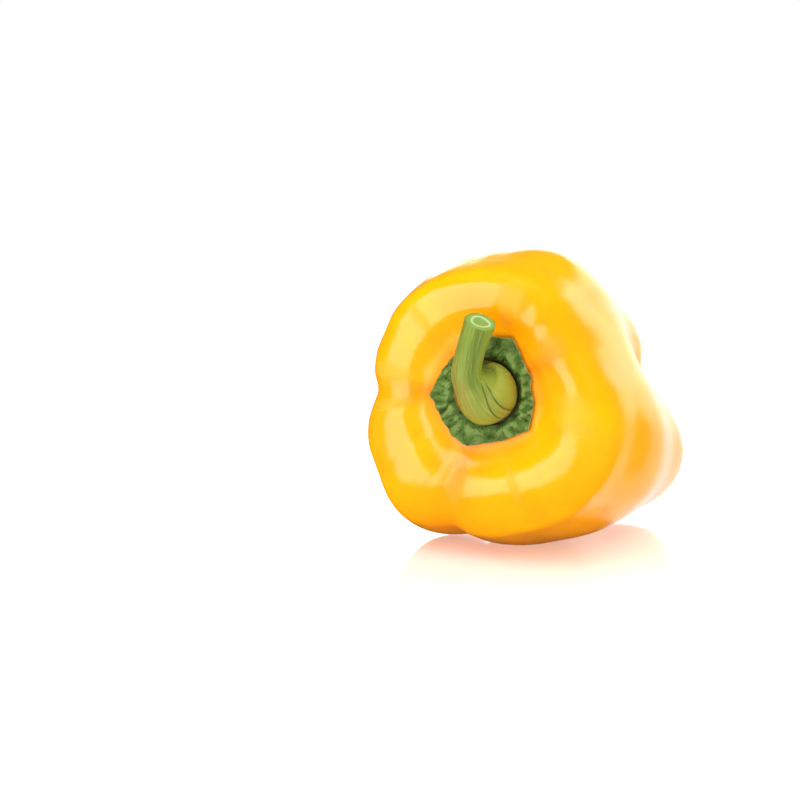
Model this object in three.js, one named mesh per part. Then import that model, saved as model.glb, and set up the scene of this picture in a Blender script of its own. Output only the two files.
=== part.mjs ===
// A bell pepper lying on its side: the lobed fruit, the collar of the calyx and the cut stem.
// Sizes are millimetres and degrees. Each piece is shaped in the plant's own frame, where the axis is
// upright, z = 0 is the seat of the calyx and the fruit hangs below it. The plant is then laid on its
// side, with the stem end toward -Y, so that it rests on z = 0.
import * as THREE from "three";

// How it lies
const STEM_END_RAISED = 1.8; // the axis points this far above level at the stem end
const FLAT_SPOT_DEPTH = 1.1; // how far the belly is pressed flat where it rests

// The fruit's outline from the stem's seat, over the shoulder and down to the blossom end.
// Each pair is the distance from the axis and the height above the seat.
const RIDGE = [
  [0, 0], [13.5, -0.9], [20.4, 1.3], [28.7, 4.1], [40.1, 1.7], [44.9, -4.6],
  [50.2, -27.5], [44.3, -52.2], [35.5, -73.9], [25.4, -87], [9.4, -85.5], [0, -82],
];
const FURROW = [
  [0, 0], [13, -1.2], [18.3, 0.3], [25.1, 0.7], [31.3, -4], [35.7, -17],
  [36.2, -29.2], [27.6, -47.2], [23, -58.4], [9.9, -70], [5.7, -80], [0, -82],
];

// How the outline changes round the fruit, anticlockwise from the right as seen from the stem.
// reach multiplies the distance from the axis, tail lengthens the blossom end, and slope lowers the
// outer shoulder.
const SIDES = [
  { at: 60, reach: 1.01, tail: -13.6, slope: -1.2 },
  { at: 105, reach: 0.91, tail: 5, slope: -3 },
  { at: 150, reach: 0.9, tail: 5.1, slope: -2.5 },
  { at: 210, reach: 1.09, tail: 1.5, slope: -0.7 },
  { at: 240, reach: 1.21, tail: -3.7, slope: 0.5 },
  { at: 285, reach: 1.03, tail: 9.5, slope: 2.1 },
  { at: 335, reach: 1.1, tail: 6.5, slope: 1.1 },
];

// Three furrows part the lobes. Each leans round the fruit on its way down, and has a depth and a width
// on the shoulder and on the side. A depth is the share of the way from RIDGE to FURROW.
const LOBE_FURROWS = [
  { at: 29.2, lean: -13.2, topDepth: 0.5, sideDepth: 1.19, topWidth: 15, sideWidth: 39.9 },
  { at: 183.2, lean: 10.8, topDepth: 0.5, sideDepth: 0.55, topWidth: 12.5, sideWidth: 11.1 },
  { at: 253, lean: -0.2, topDepth: 0.45, sideDepth: 0.41, topWidth: 12.5, sideWidth: 9.9 },
];
// Short creases that score the shoulder beside the calyx and fade out before the side.
const SHOULDER_CREASES = [
  { at: 51.1, deep: 0.16, width: 5 },
  { at: 61.6, deep: 0.16, width: 5 },
  { at: 98, deep: 0.04, width: 8 },
  { at: 151.7, deep: 0.02, width: 8 },
  { at: 269.5, deep: 0.08, width: 5 },
  { at: 297, deep: 0.08, width: 6 },
  { at: 356, deep: 0.1, width: 6 },
];
const CREASE_MIDDLE = 0.2; // where along the outline a crease is deepest
const CREASE_SPAN = 0.11;
const SLOPE_MIDDLE = 0.37; // where along the outline slope lowers the shoulder most
const SLOPE_SPAN = 0.075;
const FURROW_BOTTOM = 0.45; // how rounded a furrow's bottom is, in widths
// Along the outline, a furrow's shoulder values give way to its side values between these.
const SIDE_START = 0.15;
const SIDE_END = 0.55;
const LEAN_START = 0.3; // where along the outline a furrow starts to lean
const LEAN_SPAN = 0.5; // how much further on it has leaned by its full angle
const LEAN_LIMIT = 1.2;
const TAIL_START = 0.4; // where along the outline the tail starts to lengthen it

const TAIL_BEND = [12.2, -13.4]; // sideways and upward shift of the blossom end
const TAIL_BEND_LENGTH = 80;
const TAIL_BEND_LIMIT = 1.3;
const SEAT_TILT = 8; // the seat of the calyx turns this far to the right
const SEAT_RADIUS = 24;
const SEAT_END = 0.3; // the seat lies within this share of the outline
const HALVINGS = 24;

// The calyx: a leathery collar whose outline has a corner for each sepal.
// Each pair is an angle round the fruit and the distance from the axis.
const CALYX_OUTLINE = [
  [8, 14.4], [20, 15.4], [38, 15.4], [62, 19.6], [85, 17.5], [110, 15.2], [134, 14.7], [156, 15.2],
  [187, 18], [210, 16.8], [233, 17.9], [251, 18], [266, 16.1], [296, 15.6], [324, 17.5], [350, 15.6],
];
const CALYX_HOLE_MIDDLE = [0.8, 0.4];
const CALYX_HOLE_RADIUS = 10.1;
const CALYX_INNER_THICKNESS = 2.3;
const CALYX_OUTER_THICKNESS = 1.0;
const CALYX_FOLD_HEIGHT = 0.3;
const CALYX_FOLDS = 7;
const CALYX_FOLD_TURN = 3; // how far a fold changes phase from the hole to the edge, in radians
const CALYX_SIDE_SQUARENESS = 0.7; // an ellipse's section has 1, and a box's has 0
const CALYX_TOP_SQUARENESS = 0.5;
const GAP = 0.35; // between neighbouring pieces

// The stem's middle line from the seat to the cut, in the plant's frame.
const STEM_LINE = [
  [0.6, 0.4, 1.2], [0.95, 0.5, 3.2], [-0.3, 2, 6.4], [-1.8, 5.8, 9], [-1.1, 11, 10.4], [4, 23.5, 13.5],
];
// Each pair is the share of the stem's length from the seat and the radius there.
const STEM_RADII = [
  [0, 9], [0.03, 9.6], [0.08, 9.5], [0.13, 8.7], [0.2, 7], [0.3, 5.3],
  [0.45, 4.5], [0.65, 4.3], [0.85, 4.5], [1, 4.7],
];
const STEM_RIBS = 5;
const STEM_ROW_SPACING = 0.9; // below 1, the rows lie further apart at the foot
const STEM_RIB_HEIGHT = 0.12;

// How finely the surfaces are divided
const FRUIT_ROUND = 68;
const FRUIT_ROWS = 42;
const CALYX_ROUND = 60;
const CALYX_SECTION = 12;
const STEM_ROUND = 24;
const STEM_ROWS = 20;

const { clamp, degToRad, euclideanModulo, lerp, smoothstep } = THREE.MathUtils;
const curve = (pairs) => new THREE.SplineCurve(pairs.map(([x, y]) => new THREE.Vector2(x, y)));
const ridgeLine = curve(RIDGE);
const furrowLine = curve(FURROW);

// The signed angle from one direction to another, between -180 and 180.
function turn(from, to) {
  return euclideanModulo(to - from + 180, 360) - 180;
}

// The value of reach, tail or slope at an angle: an even blend of the stations on either side.
function side(name, angle) {
  const first = SIDES[0].at;
  const from = euclideanModulo(angle - first, 360) + first;
  const next = SIDES.findIndex((station) => station.at > from);
  const after = next < 0 ? SIDES[0] : SIDES[next];
  const before = SIDES[(next < 0 ? SIDES.length : next) - 1];
  const afterAt = next < 0 ? first + 360 : after.at;
  return lerp(before[name], after[name], smoothstep(from, before.at, afterAt));
}

// How much of a furrow of a given width is felt this many degrees from its bottom.
function furrowShare(angle, width) {
  const away = angle / width;
  return Math.exp(FURROW_BOTTOM - Math.hypot(away, FURROW_BOTTOM));
}

// 1 on a lobe's back, and less in a furrow or a crease. along runs from 0 at the seat to 1 at the
// blossom end.
function fullness(along, angle) {
  const down = clamp((along - LEAN_START) / LEAN_SPAN, 0, LEAN_LIMIT);
  const shoulder = Math.exp(-(((along - CREASE_MIDDLE) / CREASE_SPAN) ** 2));
  let share = 1;
  for (const { at, lean, topDepth, sideDepth, topWidth, sideWidth } of LOBE_FURROWS) {
    const onSide = smoothstep(along, SIDE_START, SIDE_END);
    const width = lerp(topWidth, sideWidth, onSide);
    share -= lerp(topDepth, sideDepth, onSide) * furrowShare(turn(at + lean * down, angle), width);
  }
  for (const { at, deep, width } of SHOULDER_CREASES) {
    share -= deep * shoulder * Math.exp(-((turn(at, angle) / width) ** 2));
  }
  return share;
}

// A point of the skin in the plant's frame.
function skin(along, angle) {
  const share = fullness(along, angle);
  const ridge = ridgeLine.getPoint(along);
  const furrow = furrowLine.getPoint(along);
  const pastTail = clamp((along - TAIL_START) / (1 - TAIL_START), 0, 1);
  const tail = side("tail", angle) * Math.sin(Math.PI * pastTail) ** 2;
  const out = lerp(furrow.x, ridge.x, share) * side("reach", angle);
  const slope = side("slope", angle) * Math.exp(-(((along - SLOPE_MIDDLE) / SLOPE_SPAN) ** 2));
  let height = lerp(furrow.y, ridge.y - tail, share) - slope;
  const bend = clamp(-height / TAIL_BEND_LENGTH, 0, TAIL_BEND_LIMIT) ** 2;
  const across = out * Math.cos(degToRad(angle));
  const up = out * Math.sin(degToRad(angle));
  height -= Math.tan(degToRad(SEAT_TILT)) * across * Math.exp(-((out / SEAT_RADIUS) ** 2));
  return new THREE.Vector3(across + TAIL_BEND[0] * bend, up + TAIL_BEND[1] * bend, height);
}

// The skin's height beside the calyx at a distance from the axis, found by halving.
function skinHeight(distance, angle) {
  let low = 0;
  let high = SEAT_END;
  for (let i = 0; i < HALVINGS; i += 1) {
    const middle = (low + high) / 2;
    const point = skin(middle, angle);
    if (Math.hypot(point.x, point.y) < distance) low = middle;
    else high = middle;
  }
  return skin(low, angle).z;
}

// Moves every vertex of a geometry. place gets its two surface coordinates and its old position.
function shape(geometry, place) {
  const position = geometry.getAttribute("position");
  const uv = geometry.getAttribute("uv");
  for (let i = 0; i < position.count; i += 1) {
    const old = new THREE.Vector3().fromBufferAttribute(position, i);
    const moved = place(uv.getX(i), uv.getY(i), old);
    position.setXYZ(i, moved.x, moved.y, moved.z);
  }
  geometry.computeVertexNormals();
  return geometry;
}

// The direction that is up when the plant lies on its side, told in the plant's frame.
const UP = new THREE.Vector3(0, Math.cos(degToRad(STEM_END_RAISED)), Math.sin(degToRad(STEM_END_RAISED)));

// The fruit is a sphere whose vertices are moved to the skin. What would sink below the flat spot is
// pressed up to it.
function fruit() {
  const sphere = new THREE.SphereGeometry(1, FRUIT_ROUND, FRUIT_ROWS);
  const geometry = shape(sphere, (u, v) => skin(1 - v, 360 * u));
  let lowest = Infinity;
  shape(geometry, (u, v, old) => {
    lowest = Math.min(lowest, old.dot(UP));
    return old;
  });
  const floor = lowest + FLAT_SPOT_DEPTH;
  shape(geometry, (u, v, old) => old.addScaledVector(UP, Math.max(0, floor - old.dot(UP))));
  return { geometry, floor };
}

// The calyx's edge at an angle: straight between its corners.
function calyxEdge(angle) {
  const first = CALYX_OUTLINE[0][0];
  const from = euclideanModulo(angle - first, 360) + first;
  const next = CALYX_OUTLINE.findIndex(([at]) => at > from);
  const [afterAt, after] = next < 0 ? [first + 360, CALYX_OUTLINE[0][1]] : CALYX_OUTLINE[next];
  const [beforeAt, before] = CALYX_OUTLINE[(next < 0 ? CALYX_OUTLINE.length : next) - 1];
  const sine = (degrees) => Math.sin(degToRad(degrees));
  const crossing = before * sine(from - beforeAt) + after * sine(afterAt - from);
  return (before * after * sine(afterAt - beforeAt)) / crossing;
}

// The hole that the stem's foot fills: nearly a circle round its own middle.
function calyxHole(angle) {
  const [across, up] = CALYX_HOLE_MIDDLE;
  return CALYX_HOLE_RADIUS + across * Math.cos(degToRad(angle)) + up * Math.sin(degToRad(angle));
}

// A sine or cosine raised to a power with its sign kept, which squares an ellipse's corners.
function squared(value, power) {
  return Math.sign(value) * Math.abs(value) ** power;
}

// The calyx is a ring with a flattened section. Its underside follows the skin and its top is folded.
function calyx() {
  const ring = new THREE.TorusGeometry(1, 0.5, CALYX_SECTION, CALYX_ROUND);
  return shape(ring, (u, v) => {
    const angle = 360 * u;
    const round = 2 * Math.PI * v;
    const outward = 0.5 + 0.5 * squared(Math.cos(round), CALYX_SIDE_SQUARENESS);
    const upward = 0.5 + 0.5 * squared(Math.sin(round), CALYX_TOP_SQUARENESS);
    const distance = lerp(calyxHole(angle), calyxEdge(angle), outward);
    const wave = Math.sin(degToRad(CALYX_FOLDS * angle)) * Math.cos(CALYX_FOLD_TURN * outward);
    const evenly = lerp(CALYX_INNER_THICKNESS, CALYX_OUTER_THICKNESS, outward);
    const thickness = evenly + CALYX_FOLD_HEIGHT * wave;
    const height = skinHeight(distance, angle) + GAP + upward * thickness;
    return new THREE.Vector3(
      distance * Math.cos(degToRad(angle)),
      distance * Math.sin(degToRad(angle)),
      height,
    );
  });
}

// The stem is a cylinder carried along its middle line, with a broad foot, faint ribs and a flat cut.
function stem() {
  const line = new THREE.CatmullRomCurve3(STEM_LINE.map((p) => new THREE.Vector3(...p)));
  const radii = curve(STEM_RADII);
  const rows = new THREE.CylinderGeometry(1, 1, 1, STEM_ROUND, STEM_ROWS);
  return shape(rows, (u, v, old) => {
    const { x: share, y: radius } = radii.getPoint((old.y + 0.5) ** STEM_ROW_SPACING);
    const middle = line.getPointAt(clamp(share, 0, 1));
    const along = line.getTangentAt(clamp(share, 0, 1));
    const across = new THREE.Vector3(1, 0, 0).addScaledVector(along, -along.x).normalize();
    const other = new THREE.Vector3().crossVectors(across, along);
    const ribs = 1 + (STEM_RIB_HEIGHT / radius) * Math.cos(STEM_RIBS * Math.atan2(old.x, old.z));
    const reach = radius * ribs;
    return middle.addScaledVector(across, old.x * reach).addScaledVector(other, old.z * reach);
  });
}

function mesh(name, geometry, color, roughness) {
  const material = new THREE.MeshStandardMaterial({ color, roughness, metalness: 0 });
  const made = new THREE.Mesh(geometry, material);
  made.name = name;
  return made;
}

const body = fruit();
const plant = new THREE.Group();
plant.add(mesh("fruit", body.geometry, 0xffb800, 0.25));
plant.add(mesh("calyx", calyx(), 0x4a6b33, 0.6));
plant.add(mesh("stem", stem(), 0x86a04e, 0.55));

// Laid down, with the middle of its box over the origin and the flat spot on z = 0.
plant.rotation.x = degToRad(90 - STEM_END_RAISED);
plant.updateMatrixWorld(true);
const middle = new THREE.Box3().setFromObject(plant, true).getCenter(new THREE.Vector3());
plant.position.set(-middle.x, -middle.y, -body.floor);

const pepper = new THREE.Group();
pepper.name = "bell_pepper";
pepper.add(plant);

export default pepper;
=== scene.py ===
"""The looks of a ripe bell pepper that lies on its side: waxed skin, crumpled calyx and fresh cut stem.

Each piece is worked out in the plant's own frame, in millimetres, where the axis is upright and z = 0 is
the seat of the calyx. lay_down() then brings it into the part's frame, in metres.
"""

import math

import bpy
import numpy as np
from bpy.props import FloatProperty, FloatVectorProperty, IntProperty, PointerProperty
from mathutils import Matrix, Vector


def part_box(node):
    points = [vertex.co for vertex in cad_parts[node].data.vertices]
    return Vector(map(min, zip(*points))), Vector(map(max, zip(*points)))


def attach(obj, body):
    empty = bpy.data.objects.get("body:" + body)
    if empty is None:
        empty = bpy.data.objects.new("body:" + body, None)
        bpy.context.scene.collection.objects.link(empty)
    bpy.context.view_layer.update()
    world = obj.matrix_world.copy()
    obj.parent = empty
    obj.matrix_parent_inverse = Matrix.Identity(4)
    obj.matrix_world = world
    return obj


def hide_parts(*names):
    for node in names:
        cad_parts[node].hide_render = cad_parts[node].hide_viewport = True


bl_info = {
    "name": "Bell pepper",
    "version": (1, 0, 0),
    "blender": (4, 5, 0),
    "location": "3D View > Sidebar > Pepper",
    "description": "Grows a bell pepper with its calyx and stem, and sets up a pale studio",
    "category": "Add Mesh",
}

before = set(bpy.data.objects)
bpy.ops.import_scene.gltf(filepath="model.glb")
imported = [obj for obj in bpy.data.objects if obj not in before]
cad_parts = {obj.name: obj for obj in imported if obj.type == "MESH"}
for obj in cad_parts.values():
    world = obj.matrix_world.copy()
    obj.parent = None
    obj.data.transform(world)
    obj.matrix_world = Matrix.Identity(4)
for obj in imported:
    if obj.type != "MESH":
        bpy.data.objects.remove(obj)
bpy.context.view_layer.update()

MM = 0.001

# The same driving sizes as the solids, in millimetres and degrees.
STEM_END_RAISED = 1.8
FLAT_SPOT_DEPTH = 1.1
RIDGE = [
    (0, 0), (13.5, -0.9), (20.4, 1.3), (28.7, 4.1), (40.1, 1.7), (44.9, -4.6),
    (50.2, -27.5), (44.3, -52.2), (35.5, -73.9), (25.4, -87), (9.4, -85.5), (0, -82),
]
FURROW = [
    (0, 0), (13, -1.2), (18.3, 0.3), (25.1, 0.7), (31.3, -4), (35.7, -17),
    (36.2, -29.2), (27.6, -47.2), (23, -58.4), (9.9, -70), (5.7, -80), (0, -82),
]
# Angle round the fruit, reach, tail and slope of each side. The names below number the columns.
SIDES = [
    (60, 1.01, -13.6, -1.2), (105, 0.91, 5, -3), (150, 0.9, 5.1, -2.5), (210, 1.09, 1.5, -0.7),
    (240, 1.21, -3.7, 0.5), (285, 1.03, 9.5, 2.1), (335, 1.1, 6.5, 1.1),
]
REACH = 1
TAIL = 2
SLOPE = 3
# Angle, lean, depth on the shoulder and on the side, and width there, of each furrow between lobes.
LOBE_FURROWS = [
    (29.2, -13.2, 0.5, 1.19, 15, 39.9),
    (183.2, 10.8, 0.5, 0.55, 12.5, 11.1),
    (253, -0.2, 0.45, 0.41, 12.5, 9.9),
]
# Angle, depth and width of each short crease on the shoulder.
SHOULDER_CREASES = [
    (51.1, 0.16, 5), (61.6, 0.16, 5), (98, 0.04, 8), (151.7, 0.02, 8),
    (269.5, 0.08, 5), (297, 0.08, 6), (356, 0.1, 6),
]
# Places along the outline, from 0 at the seat to 1 at the blossom end: where creases and slope are
# strongest, where a furrow's shoulder values give way to its side values, where it leans, and where the
# tail starts.
CREASE_MIDDLE = 0.2
CREASE_SPAN = 0.11
SLOPE_MIDDLE = 0.37
SLOPE_SPAN = 0.075
SIDE_START = 0.15
SIDE_END = 0.55
LEAN_START = 0.3
LEAN_SPAN = 0.5
LEAN_LIMIT = 1.2
TAIL_START = 0.4
FURROW_BOTTOM = 0.45
TAIL_BEND = (12.2, -13.4)
TAIL_BEND_LENGTH = 80
TAIL_BEND_LIMIT = 1.3
SEAT_TILT = 8
SEAT_RADIUS = 24
SEAT_END = 0.3
HALVINGS = 22
# Angle and distance from the axis of the calyx's corners.
CALYX_OUTLINE = [
    (8, 14.4), (20, 15.4), (38, 15.4), (62, 19.6), (85, 17.5), (110, 15.2), (134, 14.7), (156, 15.2),
    (187, 18), (210, 16.8), (233, 17.9), (251, 18), (266, 16.1), (296, 15.6), (324, 17.5), (350, 15.6),
]
CALYX_HOLE_MIDDLE = (0.8, 0.4)
CALYX_HOLE_RADIUS = 10.1
CALYX_INNER_THICKNESS = 2.3
CALYX_OUTER_THICKNESS = 1.0
GAP = 0.35
STEM_LINE = [
    (0.6, 0.4, 1.2), (0.95, 0.5, 3.2), (-0.3, 2, 6.4), (-1.8, 5.8, 9), (-1.1, 11, 10.4), (4, 23.5, 13.5),
]
STEM_RADII = [
    (0, 9), (0.03, 9.6), (0.08, 9.5), (0.13, 8.7), (0.2, 7), (0.3, 5.3),
    (0.45, 4.5), (0.65, 4.3), (0.85, 4.5), (1, 4.7),
]
STEM_RIBS = 5
STEM_RIB_HEIGHT = 0.12
# How finely the solid of the fruit is divided, round it and along it.
SOLID_ROUND = 68
SOLID_ROWS = 42

# The skin's finer shape. A pair is a range along the outline: nothing at its first value, all at its
# second. Each lump is how many go round the fruit and how high they are.
LUMPS = [
    (5, 1.0), (7, 0.9), (9, 0.8), (12, 0.6), (16, 0.45),
    (23, 0.3), (31, 0.2), (47, 0.1), (63, 0.05), (81, 0.03),
]
LUMP_SEED = 7
LUMP_DRIFT = 3
LUMP_LENGTHWISE = (3, 9)
# Steps of the shoulder between its swellings: angle, width in degrees and rise in millimetres.
SHOULDER_STEPS = [
    (73, 14, -1.0), (133, 8, 0.25), (173, 8, 0.45), (191, 7, -0.4),
    (254, 14, 0.6), (292, 6, 0.35), (352, 18, -0.25),
]
SWELLING_START = (0.13, 0.23)
LUMPS_END = (0.98, 0.86)
STEPS_END = (0.5, 0.35)

# The skin's colour and gloss. Radii are distances from the axis in millimetres.
# Where the wax is thin and dull: angle, width in degrees, middle along the outline and length along it.
DULL_PLACES = [
    (73, 9, 0.29, 0.07), (35, 9, 0.25, 0.07), (353, 13, 0.26, 0.07), (292, 3.5, 0.26, 0.05),
    (254, 6, 0.25, 0.07), (191, 3.5, 0.29, 0.08), (173, 5, 0.31, 0.08), (133, 4, 0.31, 0.05),
]
DULL_SPREAD = (0.1, 0.9)
WAX_ROUGHNESS = (0.17, 0.48)
BESIDE_CALYX_RADIUS = 20
BESIDE_CALYX_DULLNESS = 0.8
BLUSH_AND_SHADE_RADIUS = 19
SHADED_RADII = (12.5, 11.5)
STEM_HALF_END = 0.4
HOLLOW_FULLNESS = (1, 0.1)
SHOULDER_END = (0.36, 0.24)
SEAM_WIDTH = 6
SEAM_END = (0.33, 0.19)
# How much deeper colour there is round the calyx, in hollows of the shoulder, in all hollows and along a
# seam: partly the flesh's own deeper orange, partly painted shade in these hollows.
BLUSH_AND_SHADE_SHARES = (0.3, 0.4, 0.28, 0.22)

# The calyx's finer shape. outward runs from 0 at the hole to 1 at the edge.
SCALLOPS = 9
SCALLOP_START = 25
HOLE_NARROWER = 0.3
HOLE_SCALLOP_DEPTH = 0.35
# Raggedness of the edge: waves round it, start, how often they swell, and height.
EDGE_WAVES = [(17, 40, 7, 0.16), (61, 0, 4, 0.05)]
EDGE_INSET = 0.12
LEAF_ROUND = 880
LEAF_TOP_ROWS = 66
LEAF_UNDER_ROWS = 12
LEAF_EDGE_ROWS = 7
LEAF_INNER = 0.03
LEAF_OUTER = 0.98
LEAF_INNER_THICKNESS = CALYX_INNER_THICKNESS - 0.4
LEAF_THINNEST = 0.45
# How unevenly the folds go round: waves, start and size, in degrees.
FOLD_DRIFT = [(2, 20, 8), (3, 60, 5)]
# Folds: half waves round the leaf, slant, start, roundness and height.
LIP_FOLDS = (SCALLOPS / 2, 0.6, 0, 0.8, 0.45)
LEAF_FOLDS = [(8, -2.6, 1, 0.8, 0.34), (14.5, 1.8, 2, 0.7, 0.26)]
LIP_MIDDLE = 0.3
LIP_SPAN = 0.22
LEAF_FOLDS_START = (0, 0.5)
# Crumpling: wavelengths in millimetres, seed and height.
CRUMPLES = [((4.4, 3.6, 3.0), 21, 0.4), ((1.7, 1.4, 1.1), 5, 0.16), ((0.7, 0.55, 0.45), 9, 0.07)]
# How the plane of the crumpling is warped: waves for each millimetre, start in radians and size.
WARP_ACROSS = [(0.7, 1.3, 0.9), (1.7, 0, 0.4)]
WARP_UP = [(0.8, 0.4, 0.9), (1.5, 2, 0.4)]
RELIEF_PERCENTILES = (3, 98)
RELIEF_START = (-0.04, 0.08)
RELIEF_END = (1.15, 0.85)
# Painted light on the tops of the folds, painted shade in the bottoms of the creases and round the hole, and
# the leaf's own dry edge.
FOLD_TOPS = (0.45, 1)
FOLD_PAINTED_LIGHT = 0.5
CREASE_BOTTOMS = (0.3, 0)
CREASE_SHADE_DARKNESS = 0.8
HOLE_SHADE = (0.1, 0)
DRY_EDGE = (0.96, 0.99)

# The stem's finer shape. Its rows lie on the foot, the rind and the cut, and reach the given shares of
# the radius.
STEM_ROUND = 400
FOOT_ROWS = 6
RIND_ROWS = 190
CUT_ROWS = 36
FOOT_REACH = (0.15, 0.95)
CUT_REACH = (0.985, 0.03)
RIND_ROW_SPACING = 1.15
STEM_LINE_STEPS = 80
STEM_LINE_POINTS = 1000
STEM_TWIST = 0.5
# Strands of the rind: how many go round, start, how far they wander and how often, and height.
FIBRES = [(26, 0, 1.5, 9, 1.0), (41, 2, 0, 0, 0.7), (67, 0, 0, 0, 0.6)]
# Streaks are strands too. Each is broken up by a sine: waves along the stem, waves round it and start.
UNBROKEN = (0, 0, math.pi / 2)
STREAKS = [
    ((4, 2.5, 0, 0, 1.0), UNBROKEN),
    ((13, 4, 0, 0, 0.6), (11, 2, 0)),
    ((31, 0, 2, 7, 0.6), (23, 0, 1)),
    ((53, 1, 2, 5, 0.5), UNBROKEN),
]
# Two creases over the foot, grooves darkened with painted shade: direction at the rim and beside the stem, in
# degrees.
FOOT_CREASES = [(-50, -20), (-28, -5)]
FOOT_CREASE_ROUTE = (0.05, 0.35)
FOOT_CREASE_END = (0.33, 0.23)
FOOT_CREASE_WIDTH = 0.25
FOOT_CREASE_DEPTH = 0.28
RIND_START = (0, 0.06)
THINNEST_RADIUS = 0.05
# The cut's fibre ring, its pith and its rounded rim: places as shares of the radius, heights in millimetres.
RING_RADIUS = 0.58
RING_WANDER = 0.03
RING_WIDTH = 0.08
RING_HEIGHT = 0.12
PITH_EDGE = (0.55, 0.45)
PITH_DEPTH = 0.18
RIM_EDGE = (0.93, 0.98)
RIM_DEPTH = 0.25
CUT_EDGE = (0.96, 0.92)
# Colours of the rind, placed along the stem. A browned side has a direction in degrees, a width in
# radians and a share.
FOOT_COLOUR_END = (0.34, 0.12)
RIM_BROWN_END = (0.1, 0.04)
RIM_BROWN = 0.45
LEFT_BROWN = (205, 0.45, 0.6)
LEFT_BROWN_END = (0.75, 0.35)
FRONT_BROWN = (262, 0.55, 0.55)
FRONT_BROWN_MIDDLE = 0.3
FRONT_BROWN_SPAN = 0.13
PALE_FIBRES = (0.2, 1.8)
FIBRE_PALENESS = 0.75
DARK_STREAKS = (-0.6, 2)
STREAK_DARKNESS = 0.7

# The photograph's viewpoint, in degrees and metres.
VIEW_AZIMUTH = 26.9
VIEW_ELEVATION = 11.9
VIEW_DISTANCE = 0.9
AIM_FROM_SEAT = (-0.02305, -0.01171, -0.00235)
LENS = 134.9
SENSOR_WIDTH = 36
# Each light: name, degrees to the right of the camera, elevation, distance, width, height and radiance.
SOFTBOX = ("left_softbox", -52.8, -5, 1.2, 0.94, 1.0, 4.9)
FILLS = [
    ("top_fill", -10, 70, 1.5, 2.4, 2.2, 3.3),
    ("front_fill", 8, 25, 1.8, 2.4, 1.6, 0.35),
    ("low_fill", 10, 4, 1.0, 1.4, 0.3, 0.7),
    ("right_fill", 85, 20, 1.5, 1.4, 1.4, 1.4),
]
LIT_HEIGHT = 0.045
# The bright wall starts this many degrees to the right of the camera. Its top rises and its foot sinks
# toward the right. A pair is a range of heights, as the sine of the elevation.
WALL_START = 113
WALL_START_EDGE = (-0.03, 0.05)
WALL_TOP_EDGE = (0.24, 0.34)
WALL_FOOT_EDGE = (-0.24, -0.1)
WALL_TOP_RISE = 0.42
WALL_FOOT_SINK = 1.6
# How bright the wall is at these heights, and how bright the rest of the room is.
WALL_HEIGHTS = (-0.25, 0.3)
WALL_FOOT_SHARE = 0.7
WALL_TOP_SHARE = 2.0
DIM_ROOM = 0.05
FLOOR_HALF = 4.0
FLOOR_FADE = (0.35, 0.9)
FLOOR_ROUGHNESS = 0.06
WHITE = (1.0, 1.0, 1.0)

# The colour sockets of the Mix node go by number, because its names repeat.
MIX_SHARE = 0
MIX_LOW = 6
MIX_HIGH = 7
MIX_RESULT = 2


def linear(text):
    """An sRGB hex colour as linear red, green and blue."""
    parts = [int(text[i : i + 2], 16) / 255 for i in (1, 3, 5)]
    return [p / 12.92 if p <= 0.04045 else ((p + 0.055) / 1.055) ** 2.4 for p in parts]


def smooth(share):
    """The smooth step of a share: 0 below 0, 1 above 1, and 3 s^2 - 2 s^3 between."""
    share = np.clip(share, 0, 1)
    return share * share * (3 - 2 * share)


def ramp(value, start, end):
    """The smooth step of how far a value has come from start, where it is 0, to end, where it is 1."""
    return smooth((value - start) / (end - start))


def heap(away, width, power=2):
    """A rounded heap, 1 at its top: e to the minus power of how many widths away a point is. A higher
    power gives it a flatter top and steeper sides."""
    return np.exp(-((away / width) ** power))


def blend(low, high, share):
    """low plus share times the way to high."""
    return low + share * (high - low)


def spline(points, share):
    """An even Catmull-Rom curve through the points with doubled ends, share running from 0 to 1."""
    points = np.asarray(points, float)
    last = len(points) - 1
    step = np.clip(share, 0, 1) * last
    start = np.minimum(step.astype(int), last - 1)
    t = (step - start)[..., None]
    before, here = points[np.maximum(start - 1, 0)], points[start]
    there, after = points[start + 1], points[np.minimum(start + 2, last)]
    slope, next_slope = (there - before) / 2, (after - here) / 2
    cubic = 2 * here - 2 * there + slope + next_slope
    square = 3 * there - 3 * here - 2 * slope - next_slope
    return ((cubic * t + square) * t + slope) * t + here


def turn(start, end):
    """The signed angle from one direction to another, between -180 and 180 degrees."""
    return np.mod(end - start + 180, 360) - 180


def turn_in_radians(start, end):
    """The signed angle from one direction to another, between minus pi and pi."""
    return np.angle(np.exp(1j * (end - start)))


def around(stations, column, angle):
    """A value of the stations at an angle: a smooth step between the stations on either side."""
    at = np.array([s[0] for s in stations] + [stations[0][0] + 360], float)
    value = np.array([s[column] for s in stations] + [stations[0][column]], float)
    place = np.mod(angle - at[0], 360) + at[0]
    i = np.clip(np.searchsorted(at, place, side="right") - 1, 0, len(stations) - 1)
    return blend(value[i], value[i + 1], smooth((place - at[i]) / (at[i + 1] - at[i])))


def fullness(along, angle):
    """1 on a lobe's back, less the share of every furrow and shoulder crease, each a rounded dip that
    falls off with the angle from its bottom."""
    down = np.clip((along - LEAN_START) / LEAN_SPAN, 0, LEAN_LIMIT)
    share = np.ones(np.broadcast(along, angle).shape)
    on_side = ramp(along, SIDE_START, SIDE_END)
    for at, lean, top_depth, side_depth, top_width, side_width in LOBE_FURROWS:
        away = turn(at + lean * down, angle) / blend(top_width, side_width, on_side)
        deep = blend(top_depth, side_depth, on_side)
        share = share - deep * np.exp(FURROW_BOTTOM - np.hypot(away, FURROW_BOTTOM))
    shoulder = heap(along - CREASE_MIDDLE, CREASE_SPAN)
    for at, deep, width in SHOULDER_CREASES:
        share = share - deep * shoulder * heap(turn(at, angle), width)
    return share


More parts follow.
